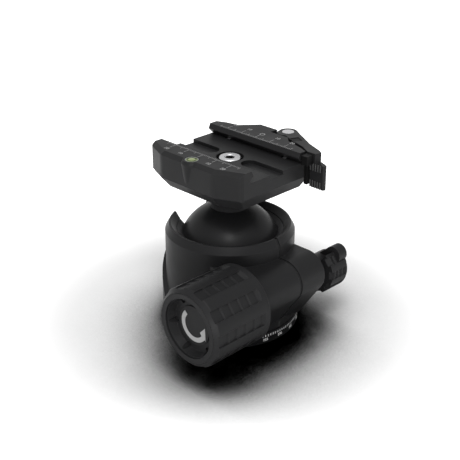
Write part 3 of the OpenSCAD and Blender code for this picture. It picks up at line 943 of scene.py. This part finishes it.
@dataclass
class SplitCollar(SubAssembly):
    """The split collar with its boss, seats and the index of the scale."""

    body: str = "collar"
    skirt_r: float = 36.2
    index_low: float = 7.0
    index_high: float = 10.4
    index_w: float = 0.3
    index_turn: float = 270.0
    mark_root: float = 0.1
    mark_h: float = 0.03
    strip_low: float = 0.22
    strip_high: float = 1.78
    strip_round: float = 0.12
    strip_outer: tuple[Point, ...] = (
        (-31.1, 55.7), (-31.85, 55.7), (-33.75, 52.3), (-33.75, 45.45),
    )
    strip_inner: tuple[Point, ...] = ((-31.1, 52.9), (-30.4, 45.0), (-30.6, 42.1))
    strip_foot: tuple[Point, ...] = ((-35.9, 11.9), (-33.2, 11.9), (-34.2, 15.2))
    nose_y: float = 38.4
    nose_z: float = 34.5
    nose_r: float = 10.95
    nose_in: float = 7.6
    nose_sweep: float = 125.0
    nose_steps: int = 24

    def strip_edge(self, rim: Sequence[Point], radius: float) -> list[Point]:
        """Run one edge of the strip down the rim and round the boss's nose.

        Args:
            rim: its corners on the rim, from the top down.
            radius: its radius round the nose.

        Returns:
            The edge's (y, z) corners, from the top down.
        """
        corners = [*rim, (-self.nose_y, rim[-1][1])]
        for step in range(1, self.nose_steps + 1):
            turn = math.radians(90 + self.nose_sweep * step / self.nose_steps)
            y, z = radius * math.cos(turn), radius * math.sin(turn)
            corners.append((y - self.nose_y, z + self.nose_z))
        return corners

    def strip(self) -> None:
        """Fill the split with the strip that closes it to dust."""
        outer = self.strip_edge(self.strip_outer, self.nose_r)
        inner = self.strip_edge(self.strip_inner, self.nose_in)
        outline = [*outer, *self.strip_foot, *reversed(inner)]
        strip = Bench.drawn("split_strip", outline, self.strip_low, self.strip_high)
        strip.rotation_euler = (math.pi / 2, 0, math.pi / 2)
        Bench.done(strip)
        Bench.soften(strip, self.strip_round)
        self.fit(strip, STRIP)

    def index(self) -> None:
        """Mark the line that the scale is read against."""
        line = Bench.block(
            "panning_index",
            (self.skirt_r - self.mark_root, -self.index_w / 2, self.index_low),
            (self.skirt_r + self.mark_h, self.index_w / 2, self.index_high),
        )
        Bench.place(line, (0, 0, 0), spin=self.index_turn)
        self.fit(line, INDEX)

    def build(self) -> None:
        """Make and dress the collar."""
        self.dress(COLLAR, "housing")
        self.dress(LINER, "liner_near", "liner_far", "lower_cup")
        self.dress(STEEL, "disc_spring", "brake_pin")
        self.dress(BRONZE, "thrust_washer", "lock_bush")
        self.dress(NUT, "draw_nut")
        self.strip()
        self.index()


@dataclass
class BallAndStem(SubAssembly):
    """The ball with its turned stem."""

    body: str = "ball_and_stem"
    ball_r: float = 27.65
    ball_z: float = 39.6
    stem_r: float = 10.3
    flare_r: float = 11.75
    flare_h: float = 6.0
    neck: tuple[Point, ...] = ((0.0, 0.0), (0.0, 0.6), (0.35, 2.2))
    flare_in: float = 0.5
    flare_under: float = 1.2
    top_z: float = 77.65
    top_chamfer: float = 0.4
    sunk: float = 0.4
    spigot_r: float = 6.5
    spigot_l: float = 7.0
    bore_r: float = 3.05
    bore_low: float = 65.05
    pole_r: float = 0.05
    rings: int = 72
    steps: int = 160

    def ball(self) -> None:
        """Turn the ball, cut flat where the stem stands."""
        top = math.asin(self.stem_r / self.ball_r)
        profile: list[Point] = [(self.pole_r, self.ball_z - self.ball_r)]
        for index in range(1, self.rings + 1):
            angle = math.pi - (math.pi - top) * index / self.rings
            height = self.ball_z + self.ball_r * math.cos(angle)
            profile.append((self.ball_r * math.sin(angle), height))
        seat = self.stem_low()
        end = seat - self.spigot_l
        profile += [(self.stem_r, seat), (self.spigot_r, seat), (self.spigot_r, end), (0, end)]
        ball = Bench.turned("polished_ball", profile, steps=self.steps, closed=False)
        Bench.soften(ball)
        self.fit(ball, BALL, "ball")

    def stem_low(self) -> float:
        """Height of the stem's foot, just under the ball's surface."""
        return self.ball_z + math.sqrt(self.ball_r**2 - self.stem_r**2) - self.sunk

    def stem(self) -> None:
        """Turn the stem: a neck that flares into the clamp's seat."""
        low, top, r = self.stem_low(), self.top_z, self.flare_r
        flare, end = low + self.flare_h, low - self.spigot_l
        stem = Bench.turned(
            "flared_stem",
            [(self.spigot_r, end), (self.spigot_r, low),
             *((self.stem_r + out, low + up) for out, up in self.neck),
             (r - self.flare_in, flare - self.flare_under), (r, flare),
             (r, top - self.top_chamfer), (r - self.top_chamfer, top), (self.bore_r, top),
             (self.bore_r, self.bore_low), (CORE_R, self.bore_low), (CORE_R, end)],
            steps=self.steps,
        )
        Bench.soften(stem, angle=25)
        self.fit(stem, STEM, "stem")

    def build(self) -> None:
        """Make and dress the ball, the stem and the washer."""
        self.ball()
        self.stem()
        self.dress(BRONZE, "turn_washer")


@dataclass
class ClampKnob(SubAssembly):
    """The main knob with its recess and the turning arrow."""

    body: str = "clamp_knob"
    centre: Place = (-66.02, -37.8, 34.5)
    disc_front: float = 4.5
    arc_in: float = 6.1
    arc_out: float = 8.5
    arc_start: float = 44.0
    arc_end: float = -145.0
    arc_steps: int = 40
    head_in: float = 4.5
    head_back: float = 6.0
    head_out: float = 9.3
    tip_r: float = 7.5
    tip_turn: float = -191.0
    mark_root: float = 0.05
    mark_h: float = 0.02
    shell_r: float = 20.1
    shell_l: float = 35.8
    shell_chamfer: float = 0.4
    shell_steps: int = 180
    face_r: float = 17.5
    ring_h: float = 1.2
    seam: float = 0.12
    seam_lip: Point = (0.18, 0.1)
    shoulder_h: float = 2.3
    shoulder_round: Point = (0.15, 0.2)
    cup_r: float = 16.05
    cup_back: float = 6.8
    room_r: float = 6.0
    well: float = 11.8
    bore_r: float = 4.0
    hub_r: float = 8.5
    hub_h: float = 0.15
    strips: int = 10
    strip_w: float = 6.1
    strip_turn: float = 17.0
    grip_r: float = 19.87
    grip_start: float = 3.9
    grip_end: float = 32.6
    teeth: int = 5
    tooth_high: float = 0.45
    tooth_deep: float = 1.0
    tooth_back: float = 1.5
    tooth_edge: float = 0.5
    end_foot: float = 2.4
    end_top: float = 0.6
    clear: float = 1.0

    def shell(self) -> None:
        """Turn the knob's shell and cut its saw-toothed strips."""
        r, length, seam = self.shell_r, self.shell_l, self.face_r + self.seam
        lip_w, lip_h = self.seam_lip
        round_in, round_h = self.shoulder_round
        shell = Bench.turned(
            "ribbed_shell",
            [(self.bore_r, self.well), (self.room_r, self.well), (self.room_r, self.cup_back),
             (self.cup_r, self.cup_back), (self.cup_r, self.ring_h), (seam, self.ring_h),
             (seam, lip_h), (seam + lip_w, 0), (r - round_in, self.shoulder_h - round_h),
             (r, self.shoulder_h + round_h), (r, length - self.shell_chamfer),
             (r - self.shell_chamfer, length), (self.hub_r, length),
             (self.hub_r, length + self.hub_h), (self.bore_r, length + self.hub_h)],
            steps=self.shell_steps,
        )
        Bench.cut(shell, self.strip_cutters())
        Bench.place(shell, self.centre, Axis.KNOB)
        Bench.soften(shell, angle=20)
        self.fit(shell, KNOB, "main_knob")

    def strip_cutters(self) -> bpy.types.Object:
        """Draw a saw-toothed strip and repeat it round the knob.

        Returns:
            The strips, ready to cut with.
        """
        high, deep = self.grip_r - self.tooth_high, self.grip_r - self.tooth_deep
        clear = self.shell_r + self.clear
        pitch = (self.grip_end - self.grip_start) / self.teeth
        saw = [(clear, -self.clear), (high, -self.clear)]
        for index in range(1, self.teeth):
            crest = self.grip_start + index * pitch - self.tooth_back
            saw += [(deep, crest - self.tooth_edge), (high, crest)]
        end, top = self.grip_end, self.end_top
        saw += [(deep, end - self.end_foot), (self.grip_r, end - top), (clear, end + top)]
        strip = Bench.drawn("strip_cutter", saw, -self.strip_w / 2, self.strip_w / 2)
        strip.rotation_euler = (math.pi / 2, 0, 0)
        Bench.done(strip)
        Bench.place(strip, (0, 0, 0), spin=self.strip_turn)
        Bench.repeat(strip, self.strips)
        return strip

    def arrow(self) -> None:
        """Mark the arrow that shows which way the knob tightens."""
        sweep = (self.arc_end - self.arc_start) / self.arc_steps
        ring = [self.arc_start + sweep * step for step in range(self.arc_steps + 1)]
        outer = [(self.arc_out, turn) for turn in ring]
        inner = [(self.arc_in, turn) for turn in reversed(ring)]
        head = [
            (self.head_out, self.arc_end),
            (self.tip_r, self.tip_turn),
            (self.head_in, self.arc_end - self.head_back),
        ]
        points = [self.on_face(radius, turn) for radius, turn in outer + head + inner]
        low, high = self.disc_front - self.mark_root, self.disc_front + self.mark_h
        arrow = Bench.drawn("turning_arrow", points, low, high)
        Bench.place(arrow, self.centre, Axis.KNOB)
        self.fit(arrow, ARROW)

    @staticmethod
    def on_face(radius: float, turn: float) -> Point:
        """Where a point of the face lies, before the knob is laid along X.

        Args:
            radius: distance from the knob's axis.
            turn: the angle from the top, in degrees.

        Returns:
            The point's place.
        """
        angle = math.radians(turn)
        return (-radius * math.sin(angle), radius * math.cos(angle))

    def build(self) -> None:
        """Make and dress the knob."""
        self.shell()
        self.dress(KNOB, "knob_ring")
        self.dress(RECESS, "knob_cup")
        self.dress(DISC, "arrow_disc")
        self.dress(STEEL, "knob_screw", "clamp_spindle")
        self.arrow()


@dataclass
class PanLock(SubAssembly):
    """The panning lock's knob."""

    body: str = "pan_knob"

    def build(self) -> None:
        """Dress the lock."""
        self.dress(LOCK, "lock_knob", "lock_cap")
        self.dress(STEEL, "lock_spindle")


@dataclass(frozen=True)
class JawScale:
    """A jaw's scale: a line of ticks along its inner edge, with numbers.

    Attributes:
        edge_x: where the ticks start.
        side: -1 for the fixed jaw, 1 for the moving one.
        number_x: where the numbers stand.
        half: how far the scale reaches each way, one tick to a millimetre.
        tick_ls: (spacing, length) of the ticks, the longest first.
        tick_w: width of a tick.
        root: how far the ticks are sunk.
        mark_h: how far the marks stand up.
        top_z: height of the jaw's top.
        number_size: type size of the numbers.
        numbers: the places of the numbers along Y.
    """

    edge_x: float
    side: int
    number_x: float
    half: int = 25
    tick_ls: tuple[Point, ...] = ((10, 4.6), (5, 2.3), (1, 1.15))
    tick_w: float = 0.2
    root: float = 0.05
    mark_h: float = 0.03
    top_z: float = 97.75
    number_size: float = 2.9
    numbers: tuple[int, ...] = (-20, -10, 10, 20)

    def ticks(self, name: str) -> bpy.types.Object:
        """Rule the ticks.

        Args:
            name: the joined piece's name.

        Returns:
            The ticks as one piece.
        """
        ticks = []
        for y in range(-self.half, self.half + 1):
            reach = next(length for every, length in self.tick_ls if y % every == 0)
            low, high = sorted((self.edge_x, self.edge_x + self.side * reach))
            ticks.append(
                Bench.block(
                    "tick",
                    (low, y - self.tick_w / 2, self.top_z - self.root),
                    (high, y + self.tick_w / 2, self.top_z + self.mark_h),
                )
            )
        return Bench.joined(name, ticks)

    def figures(self, name: str, *more: bpy.types.Object) -> bpy.types.Object:
        """Set the numbers and join them.

        Args:
            name: the joined piece's name.
            more: other marks that join them.

        Returns:
            The numbers as one piece.
        """
        figures = []
        for y in self.numbers:
            number = Bench.lettering(str(abs(y)), self.number_size, 2 * self.mark_h)
            number.rotation_euler = (0, 0, -math.pi / 2)
            number.location = (self.number_x * MM, y * MM, self.top_z * MM)
            figures.append(Bench.done(number))
        return Bench.joined(name, [*figures, *more])


@dataclass
class PlateClamp(SubAssembly):
    """The plate clamp with its level, scale and centre screw."""

    body: str = "plate_clamp"
    top_z: float = 97.75
    floor_z: float = 91.95
    head_r: float = 5.7
    head_h: float = 4.4
    head_chamfer: float = 0.45
    bolt_r: float = 3.0
    bolt_low: float = 66.05
    bolt_chamfer: float = 0.5
    turned_steps: int = 64
    key_r: float = 2.6
    key_h: float = 2.6
    key_sink: float = 0.35
    lining_top: float = 0.4
    lining_gap: float = 0.02
    lining_wall: float = 0.12
    lining_open: float = 0.05
    level_at: Point = (-26.69, -0.3)
    level_steps: int = 48
    vial_r: float = 3.4
    vial_h: float = 2.6
    vial_dome: tuple[Point, ...] = ((1.0, -0.45), (0.9, -0.22), (0.6, -0.08), (0.0, -0.02))
    rim_w: float = 0.45
    rim_gap: float = 0.02
    bubble_r: float = 1.9
    bubble_steps: int = 32
    bubble_off: Point = (0.2, 0.3)
    bubble_dome: tuple[Point, ...] = ((1.0, -0.1), (0.8, -0.02), (0.0, 0.0))
    circle_walls: Point = (0.15, 0.4)
    float_h: float = 0.3
    pin_at: Point = (36.8, -6.41)
    pin_r: float = 2.5
    pin_low: float = 83.95
    pin_neck: float = 96.55
    pin_head: tuple[Point, ...] = ((3.4, 96.55), (3.4, 97.45), (3.1, 97.72), (0.0, 97.75))
    marks: JawScale = JawScale(edge_x=-17.9, side=-1, number_x=-24.9)

    def screw(self) -> None:
        """Turn the centre screw and cut its hexagon socket."""
        top, r, bolt = self.floor_z, self.head_r, self.bolt_r
        neck, seat = top - self.head_h, top - self.key_sink
        screw = Bench.turned(
            "clamp_centre_screw",
            [(CORE_R, self.bolt_low), (bolt - self.bolt_chamfer, self.bolt_low),
             (bolt, self.bolt_low + self.bolt_chamfer), (bolt, neck), (r, neck),
             (r, top - self.head_chamfer), (r - self.head_chamfer, top),
             (self.key_r + self.key_sink, top), (self.key_r, seat), (0, seat)],
            steps=self.turned_steps, closed=False,
        )
        Bench.cut(screw, Bench.hexagon("key", self.key_r, top - self.key_h, top + self.key_h))
        Bench.soften(screw)
        self.fit(screw, PIN, "centre_screw")

    def lining(self) -> None:
        """Line the hexagon socket with a near-black shell: painted shade standing in for the dark
        inside of the socket.
        """
        top, floor = self.floor_z - self.lining_top, self.floor_z - self.key_h
        gap, wall, rise = self.lining_gap, self.lining_wall, self.lining_open
        lining = Bench.hexagon("socket_shade_liner", self.key_r - gap, floor + gap, top)
        room = Bench.hexagon("room", self.key_r - wall, floor + wall + rise, top + rise)
        Bench.cut(lining, room)
        self.fit(lining, SOCKET_SHADE)

    def level(self) -> None:
        """Make the level: a domed vial in a pale rim, its circle and its bubble."""
        x, y = self.level_at
        top, low, r, b = self.top_z, self.top_z - self.vial_h, self.vial_r, self.bubble_r
        foot, steps, gap = top - self.float_h, self.level_steps, self.rim_gap
        dome = [(share * r, top + z) for share, z in self.vial_dome]
        profile = [(CORE_R, low), (r, low), *dome]
        vial = Bench.turned("level_fluid", profile, steps, closed=False)
        dome = [(share * b, top + z) for share, z in self.bubble_dome]
        profile = [(CORE_R, foot), (b, foot), *dome]
        bubble = Bench.turned("level_bubble", profile, self.bubble_steps, closed=False)
        rim = Bench.ring("level_rim", r - self.rim_w, r - gap, foot, top - gap, steps)
        inner, outer = (b + w for w in self.circle_walls)
        circle = Bench.ring("level_circle", inner, outer, foot, top, steps)
        for piece in (vial, rim, circle):
            Bench.place(piece, (x, y, 0))
        off_x, off_y = self.bubble_off
        Bench.place(bubble, (x + off_x, y + off_y, 0))
        Bench.soften(vial)
        Bench.soften(bubble, angle=60)
        Bench.soften(rim)
        self.fit(vial, VIAL, "level_vial")
        self.fit(bubble, BUBBLE)
        self.fit(rim, RIM)
        self.fit(circle, CUP)

    def pin(self) -> None:
        """Turn the bright pin that the lever swings on."""
        r = self.pin_r
        profile = [(CORE_R, self.pin_low), (r, self.pin_low), (r, self.pin_neck), *self.pin_head]
        pin = Bench.turned("bright_lever_pin", profile, self.turned_steps, closed=False)
        Bench.place(pin, (*self.pin_at, 0))
        Bench.soften(pin)
        self.fit(pin, PIN, "lever_pin")

    def build(self) -> None:
        """Make and dress the clamp."""
        self.dress(CLAMP, "clamp_body")
        self.dress(CUP, "level_cup")
        self.dress(STEEL, "jaw_spring_a", "jaw_spring_b")
        self.screw()
        self.lining()
        self.level()
        self.fit(self.marks.ticks("fixed_jaw_ticks"), TICK)
        self.fit(self.marks.figures("fixed_jaw_numbers"), NUMBER)
        self.pin()


@dataclass
class JawAndLever(SubAssembly):
    """The moving jaw, the lever that works it, and their marks."""

    body: str = "jaw"
    marks: JawScale = JawScale(edge_x=17.3, side=1, number_x=24.7)
    zero_r: float = 1.15
    zero_w: float = 0.3
    zero_in: float = 0.8
    zero_steps: int = 32
    tab_x: float = 21.35
    tab_y: float = -35.55
    rib_bands: tuple[Point, ...] = ((79.7, 83.5), (88.7, 92.5))
    rib_n: int = 5
    rib_pitch: float = 1.6
    rib_w: float = 0.7
    rib_out: float = 0.35
    rib_root: float = 0.1
    rib_round: float = 0.2

    def ribs(self) -> None:
        """Round the crests of the thumb tab's ribs."""
        crests = []
        for index in range(self.rib_n):
            y = self.tab_y - index * self.rib_pitch
            for low, high in self.rib_bands:
                crests.append(
                    Bench.block(
                        "rib",
                        (self.tab_x - self.rib_out, y - self.rib_w / 2, low),
                        (self.tab_x + self.rib_root, y + self.rib_w / 2, high),
                    )
                )
        ribs = Bench.joined("thumb_tab_ribs", crests)
        Bench.soften(ribs, self.rib_round)
        # The crests take a paler finish than the lever: a painted highlight.
        self.fit(ribs, RIB, body="clamp_lever")

    def build(self) -> None:
        """Make and dress the jaw and the lever."""
        self.dress(JAW, "moving_jaw")
        self.dress(NUT, "jaw_screw_a", "jaw_screw_b")
        self.dress(LEVER, "lever")
        self.dress(BUTTON, "latch_button")
        self.dress(CATCH, "latch_catch")
        self.ribs()
        marks = self.marks
        low, high = marks.top_z - marks.root, marks.top_z + marks.mark_h
        rim = self.zero_r + self.zero_w
        zero = Bench.ring("zero", self.zero_r, rim, low, high, self.zero_steps)
        Bench.place(zero, (marks.number_x - self.zero_in, 0, 0))
        self.fit(marks.ticks("moving_jaw_ticks"), TICK)
        self.fit(marks.figures("moving_jaw_numbers", zero), NUMBER)


def aim(thing: bpy.types.Object, at: Vector, target: Vector) -> None:
    """Bring the camera or a lamp into the scene.

    Args:
        thing: the camera or the lamp.
        at: its place.
        target: the place it looks at.
    """
    bpy.context.collection.objects.link(thing)
    thing.location = at
    thing.rotation_mode = "QUATERNION"
    thing.rotation_quaternion = (target - at).to_track_quat("-Z", "Y")


@dataclass(frozen=True)
class Lamp:
    """A soft square lamp that faces the object.

    Attributes:
        name: the lamp's name.
        at: its place, in metres.
        size: its side, in metres.
        power: its power, in watts.
        target: the place it faces, in metres.
    """

    name: str
    at: Place
    size: float
    power: float
    target: Place = (0.0, 0.0, 0.05)

    def hang(self) -> None:
        """Hang the lamp."""
        data = bpy.data.lights.new(self.name, "AREA")
        data.shape = "SQUARE"
        data.size = self.size
        data.energy = self.power
        aim(bpy.data.objects.new(self.name, data), Vector(self.at), Vector(self.target))


@dataclass
class Studio:
    """The pale floor, the lamps and the camera at the photo's angle.

    Attributes:
        eye: the camera's place, in millimetres.
        target: the place it looks at, in millimetres.
        lens: its focal length, in millimetres.
        sensor: its sensor's width, in millimetres.
        near: nearest distance it sees, in metres.
        far: furthest distance it sees, in metres.
        floor: the floor's radius, in metres.
        floor_sides: how many straight sides the round floor has.
        floor_z: the floor's height, in metres, just under the object.
        fill: strength of the white surroundings as plain light.
        fade_in: radius at which the floor starts to fade to white, in metres.
        fade_out: radius at which it is white, in metres.
        lift: how much of the white it shows inside that.
        shade_reach: how far away things shade the floor, in metres.
        shade_dark: openness to the sky at which the floor is black.
        shade_light: openness at which it is pale.
        shade_samples: rays that measure it.
        pale: the floor's own colour.
        matt: the floor's roughness.
        lamps: the lamps.
    """

    eye: Place = (-321.1, -321.1, 266.3)
    target: Place = (0.0, 0.0, 50.58)
    lens: float = 74.78
    sensor: float = 36
    near: float = 0.01
    far: float = 50
    floor: float = 6.0
    floor_sides: int = 64
    floor_z: float = -0.0001
    fill: float = 0.25
    fade_in: float = 0.08
    fade_out: float = 0.17
    lift: float = 0.1
    shade_reach: float = 0.5
    shade_dark: float = 0.5
    shade_light: float = 0.93
    shade_samples: int = 16
    pale: float = 0.9
    matt: float = 0.9
    lamps: tuple[Lamp, ...] = (
        Lamp("overhead", (-0.2, -0.2, 1.1), 1.2, 5.0),
        Lamp("key", (-0.49, -0.49, 1.04), 0.4, 7.0),
        Lamp("front", (-0.82, -0.8, 0.08), 0.5, 9.0),
    )

    def camera(self) -> None:
        """Stand the camera where the photo was taken."""
        data = bpy.data.cameras.new("photo_camera")
        data.lens = self.lens
        data.sensor_width = self.sensor
        data.clip_start = self.near
        data.clip_end = self.far
        camera = bpy.data.objects.new("photo_camera", data)
        aim(camera, Vector(self.eye) * MM, Vector(self.target) * MM)
        bpy.context.scene.camera = camera

    @staticmethod
    def white_rays(wires: Wiring) -> Socket:
        """Pick out the rays that see the white ground: camera, glossy and transmission.

        Args:
            wires: the floor's or the world's tree.

        Returns:
            A socket that is 1 for those rays and 0 for the rest.
        """
        rays = wires.add("LightPath").outputs
        seen = wires.number("MAXIMUM", rays["Is Camera Ray"], rays["Is Glossy Ray"])
        return wires.number("MAXIMUM", seen, rays["Is Transmission Ray"])

    def world(self) -> None:
        """Light everything a little from all round, on a white ground."""
        world = bpy.data.worlds.new("studio")
        bpy.context.scene.world = world
        world.use_nodes = True
        wires = Wiring(world.node_tree)
        wires.feed(wires.nodes["Background"], {
            "Color": WHITE,
            "Strength": wires.scaled(self.white_rays(wires), wanted=(self.fill, 1)),
        })

    def paint(self) -> bpy.types.Material:
        """Mix the floor's paint: pale, with painted shadow from ambient occlusion under the
        object, white further off.

        Returns:
            The material.
        """
        paint = bpy.data.materials.new("pale_floor")
        paint.use_nodes = True
        wires = Wiring(paint.node_tree)
        where = wires.add("TexCoord").outputs["Object"]
        reach = wires.number("LENGTH", where, kind="VectorMath")
        fade = wires.scaled(
            reach, (self.fade_in, self.fade_out), (self.lift, 1), smooth=True
        )
        # Painted shadow: ambient occlusion darkens the floor's colour and its glow near the
        # object.
        near = wires.add("AmbientOcclusion", Distance=self.shade_reach)
        near.samples = self.shade_samples
        depth = wires.scaled(
            near.outputs["AO"], (self.shade_dark, self.shade_light), smooth=True
        )
        glow = wires.number("MULTIPLY", fade, self.white_rays(wires))
        wires.feed(wires.nodes["Principled BSDF"], {
            "Base Color": wires.number("MULTIPLY", depth, self.pale),
            "Roughness": self.matt,
            "Specular IOR Level": 0.0,
            "Emission Color": WHITE,
            "Emission Strength": wires.number("MULTIPLY", glow, depth),
        })
        return paint

    def ground(self) -> None:
        """Lay the floor."""
        Bench.clear()
        bpy.ops.mesh.primitive_circle_add(
            vertices=self.floor_sides, radius=self.floor, fill_type="NGON",
            location=(0, 0, self.floor_z),
        )
        floor = Bench.done(bpy.context.object, "floor")
        floor.data.materials.append(self.paint())

    def build(self) -> None:
        """Set the whole studio."""
        bpy.context.scene.view_settings.view_transform = "Standard"
        self.camera()
        self.world()
        self.ground()
        for lamp in self.lamps:
            lamp.hang()


def main() -> None:
    """Load the frame, build every sub-assembly and log each one."""
    logging.basicConfig(level=logging.INFO, format="%(name)s: %(message)s")
    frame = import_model()
    Studio().build()
    for part in (PanBase, SplitCollar, BallAndStem, ClampKnob, PanLock, PlateClamp, JawAndLever):
        part(frame).build()
        LOG.info("built %s", part.__name__)


if __name__ == "__main__":
    main()
